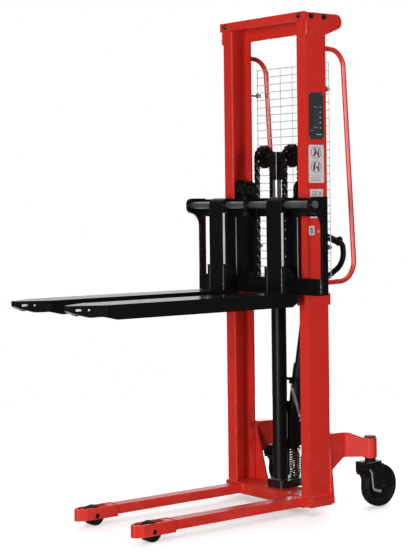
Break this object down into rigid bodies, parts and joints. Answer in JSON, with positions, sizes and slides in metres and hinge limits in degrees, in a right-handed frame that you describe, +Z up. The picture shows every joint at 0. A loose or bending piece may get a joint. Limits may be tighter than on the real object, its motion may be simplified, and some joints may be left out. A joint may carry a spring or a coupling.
{
  "type": "walkie stacker",
  "caption": "Hand-pumped straddle pallet stacker: fork carriage lifted up a mast by a cylinder and chains, tiller, swivel casters.",
  "frame": {"origin": "on the floor, under the middle of the machine's overall footprint", "axes": "+Z up, forks point along -Y, operator stands at +Y, +X is the operator's left when facing the mast"},
  "size_m": [0.826, 1.582, 2.081],
  "materials": {
    "frame_red": "gloss",
    "carriage_black": "gloss",
    "rod_chrome": "polished",
    "bar_steel": "satin",
    "roller_steel": "oiled",
    "chain_steel": "oiled",
    "pump_iron": "painted",
    "zinc": "satin",
    "wheel_nylon": "satin",
    "grip_rubber": "matte",
    "guard_wire": "satin",
    "label_film": "matte",
    "spring_steel": "satin"
  },
  "bodies": {
    "mast_frame": {"mast_column_left": "frame_red", "mast_column_right": "frame_red", "mast_head": "frame_red", "mast_head_bolts": "zinc", "rear_crossbeam": "frame_red", "mid_crossbeam": "frame_red", "base_frame": "frame_red", "straddle_leg_left": "frame_red", "straddle_leg_right": "frame_red", "load_roller_axles": "roller_steel", "rear_plate": "frame_red", "caster_arm_left": "frame_red", "caster_arm_right": "frame_red", "cylinder_barrel": "carriage_black", "cylinder_gland": "zinc", "chain_anchor_bracket": "carriage_black", "mesh_guard": "guard_wire", "guard_bolts": "zinc", "handrail_left": "frame_red", "handrail_right": "frame_red", "identification_labels": "label_film", "pump_body": "pump_iron", "tiller_bracket": "carriage_black", "tiller_pin": "roller_steel"},
    "lift_rod": {"piston_rod": "rod_chrome", "crosshead": "roller_steel", "chain_wraps": "chain_steel", "chains_rear": "chain_steel"},
    "sprockets": {"chain_sprockets": "roller_steel"},
    "carriage": {"carriage_upper_bar": "carriage_black", "carriage_lower_bar": "carriage_black", "carriage_side_plate_left": "carriage_black", "carriage_side_plate_right": "carriage_black", "carriage_upright_left": "carriage_black", "carriage_upright_right": "carriage_black", "fork_bar": "bar_steel", "guide_axles": "bar_steel", "chains_front": "chain_steel"},
    "upper_guide_rollers": {"upper_guide_rollers": "roller_steel"},
    "lower_guide_rollers": {"lower_guide_rollers": "roller_steel"},
    "tiller": {"tiller_arm": "carriage_black", "tiller_loop": "carriage_black", "hand_grips": "grip_rubber", "roller_pin": "roller_steel", "tiller_spring": "spring_steel"},
    "pressure_roller": {"pressure_roller": "roller_steel"},
    "release_lever": {"release_lever": "carriage_black"},
    "release_valve": {"release_valve": "zinc"},
    "pump_plunger": {"pump_plunger": "bar_steel", "pump_spring": "spring_steel"},
    "load_roller_left": {"load_roller_left": "wheel_nylon"},
    "fork_left": {"fork_left": "carriage_black"},
    "caster_swivel_left": {"caster_fork_left": "carriage_black"},
    "caster_wheel_left": {"caster_wheel_left": "wheel_nylon"},
    "brake_pedal_left": {"brake_pedal_left": "carriage_black"},
    "load_roller_right": {"load_roller_right": "wheel_nylon"},
    "fork_right": {"fork_right": "carriage_black"},
    "caster_swivel_right": {"caster_fork_right": "carriage_black"},
    "caster_wheel_right": {"caster_wheel_right": "wheel_nylon"},
    "brake_pedal_right": {"brake_pedal_right": "carriage_black"}
  },
  "joints": [
    {"name": "rod_lift", "type": "slide", "parent": "mast_frame", "child": "lift_rod", "axis": [0, 0, 1], "range_m": [-0.4155, 0.3385], "deforming": ["chains_rear"]},
    {"name": "carriage_lift", "type": "slide", "parent": "lift_rod", "child": "carriage", "axis": [0, 0, 1], "range_m": [-0.4155, 0.3385], "deforming": ["chains_front"]},
    {"name": "sprocket_turn", "type": "hinge", "parent": "lift_rod", "child": "sprockets", "pos_m": [0, 0.417, 1.491], "axis": [1, 0, 0], "continuous": true},
    {"name": "upper_guide_turn", "type": "hinge", "parent": "carriage", "child": "upper_guide_rollers", "pos_m": [0, 0.3955, 1.349], "axis": [1, 0, 0], "continuous": true},
    {"name": "lower_guide_turn", "type": "hinge", "parent": "carriage", "child": "lower_guide_rollers", "pos_m": [0, 0.3955, 0.975], "axis": [1, 0, 0], "continuous": true},
    {"name": "fork_slide_left", "type": "slide", "parent": "carriage", "child": "fork_left", "axis": [1, 0, 0], "range_m": [-0.034, 0.045]},
    {"name": "fork_slide_right", "type": "slide", "parent": "carriage", "child": "fork_right", "axis": [-1, 0, 0], "range_m": [-0.034, 0.045]},
    {"name": "tiller_swing", "type": "hinge", "parent": "mast_frame", "child": "tiller", "pos_m": [0, 0.464, 0.25], "axis": [-1, 0, 0], "range_deg": [0, 65], "stiffness_Nm_per_rad": 38, "springref_deg": -25.78, "deforming": ["tiller_spring"]},
    {"name": "plunger_stroke", "type": "slide", "parent": "mast_frame", "child": "pump_plunger", "axis": [0, 0, 1], "range_m": [-0.036, 0], "deforming": ["pump_spring"]},
    {"name": "pressure_roller_spin", "type": "hinge", "parent": "tiller", "child": "pressure_roller", "pos_m": [0, 0.494, 0.2635], "axis": [1, 0, 0], "continuous": true},
    {"name": "release_lever_tilt", "type": "hinge", "parent": "tiller", "child": "release_lever", "pos_m": [0, 0.5801, 0.90377], "axis": [1, 0, 0], "range_deg": [-12, 12], "stiffness_Nm_per_rad": 4},
    {"name": "valve_turn", "type": "hinge", "parent": "mast_frame", "child": "release_valve", "pos_m": [0.058, 0.479, 0.093], "axis": [1, 0, 0], "range_deg": [-12.5, 12.5]},
    {"name": "load_roller_spin_left", "type": "hinge", "parent": "mast_frame", "child": "load_roller_left", "pos_m": [0.1955, -0.424, 0.04], "axis": [1, 0, 0], "continuous": true},
    {"name": "caster_turn_left", "type": "hinge", "parent": "mast_frame", "child": "caster_swivel_left", "pos_m": [0.299, 0.653, 0.25], "axis": [0, 0, 1], "continuous": true},
    {"name": "caster_spin_left", "type": "hinge", "parent": "caster_swivel_left", "child": "caster_wheel_left", "pos_m": [0.299, 0.701, 0.09], "axis": [1, 0, 0], "continuous": true},
    {"name": "brake_press_left", "type": "hinge", "parent": "caster_swivel_left", "child": "brake_pedal_left", "pos_m": [0.299, 0.609, 0.155], "axis": [1, 0, 0], "range_deg": [0, 6]},
    {"name": "load_roller_spin_right", "type": "hinge", "parent": "mast_frame", "child": "load_roller_right", "pos_m": [-0.1955, -0.424, 0.04], "axis": [1, 0, 0], "continuous": true},
    {"name": "caster_turn_right", "type": "hinge", "parent": "mast_frame", "child": "caster_swivel_right", "pos_m": [-0.299, 0.653, 0.25], "axis": [0, 0, 1], "continuous": true},
    {"name": "caster_spin_right", "type": "hinge", "parent": "caster_swivel_right", "child": "caster_wheel_right", "pos_m": [-0.299, 0.701, 0.09], "axis": [1, 0, 0], "continuous": true},
    {"name": "brake_press_right", "type": "hinge", "parent": "caster_swivel_right", "child": "brake_pedal_right", "pos_m": [-0.299, 0.609, 0.155], "axis": [1, 0, 0], "range_deg": [0, 6]}
  ],
  "couplings": [
    {"joint": "carriage_lift", "follows": "rod_lift", "ratio": 1},
    {"joint": "sprocket_turn", "follows": "rod_lift", "rad_per_m": -23.37},
    {"joint": "upper_guide_turn", "follows": "rod_lift", "rad_per_m": 42.58},
    {"joint": "lower_guide_turn", "follows": "rod_lift", "rad_per_m": -42.58},
    {"joint": "plunger_stroke", "follows": "tiller_swing", "m_per_rad": -0.03},
    {"joint": "valve_turn", "follows": "release_lever_tilt", "ratio": 1}
  ]
}
